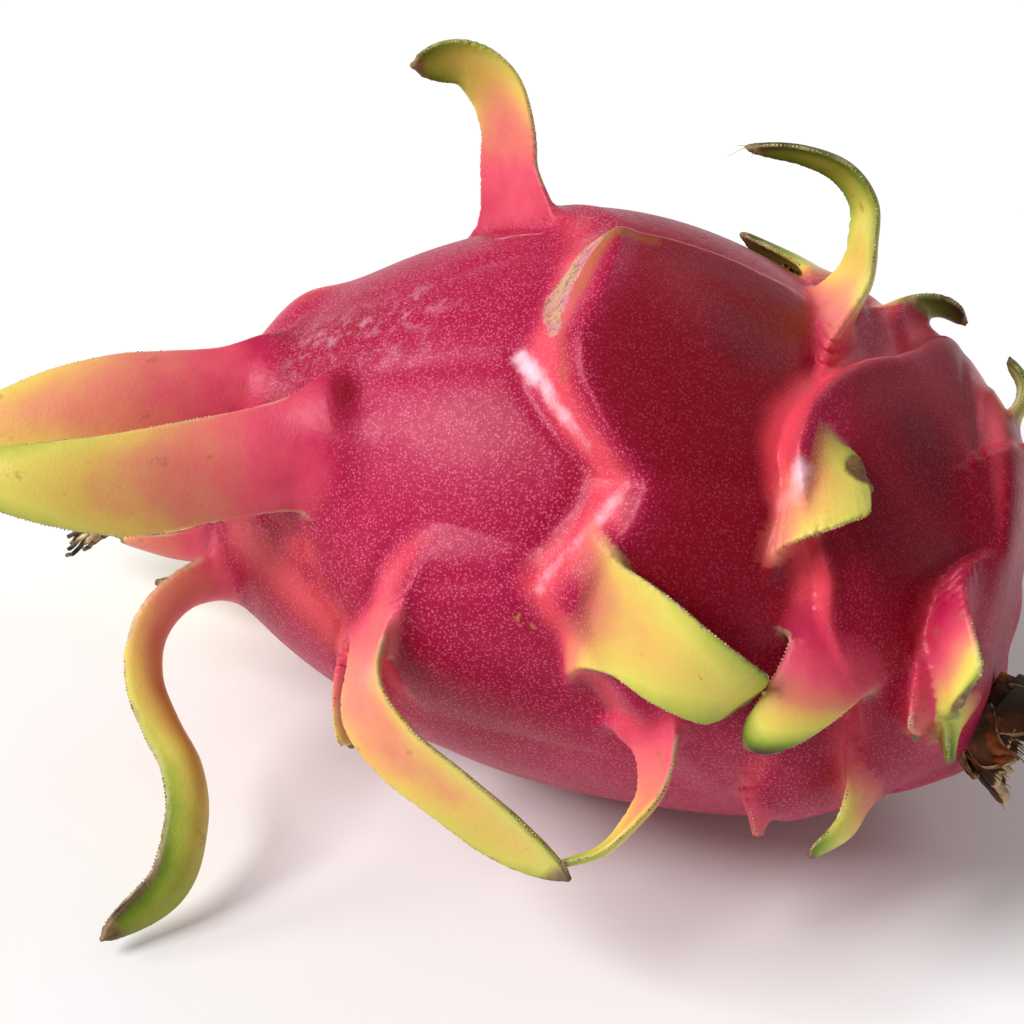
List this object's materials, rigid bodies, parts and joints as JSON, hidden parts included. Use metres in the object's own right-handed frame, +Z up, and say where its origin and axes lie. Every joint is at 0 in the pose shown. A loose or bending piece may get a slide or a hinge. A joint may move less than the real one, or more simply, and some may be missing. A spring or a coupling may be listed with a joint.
{
  "type": "dragon fruit",
  "caption": "Ripe red dragon fruit lying on its side, with long leafy scales, a cut stem and a dried flower.",
  "frame": {"origin": "middle of the small flat spot that the fruit rests on", "axes": "+Z up, long axis along X with the stem end at +X and the flower end at -X"},
  "size_m": [0.1698, 0.1215, 0.1025],
  "materials": {
    "skin": "waxy",
    "stem_wood": "rough",
    "withered_flower": "rough"
  },
  "bodies": {
    "root": {"fruit": "skin", "cut_stem": "stem_wood", "dried_flower": "withered_flower"}
  },
  "joints": []
}
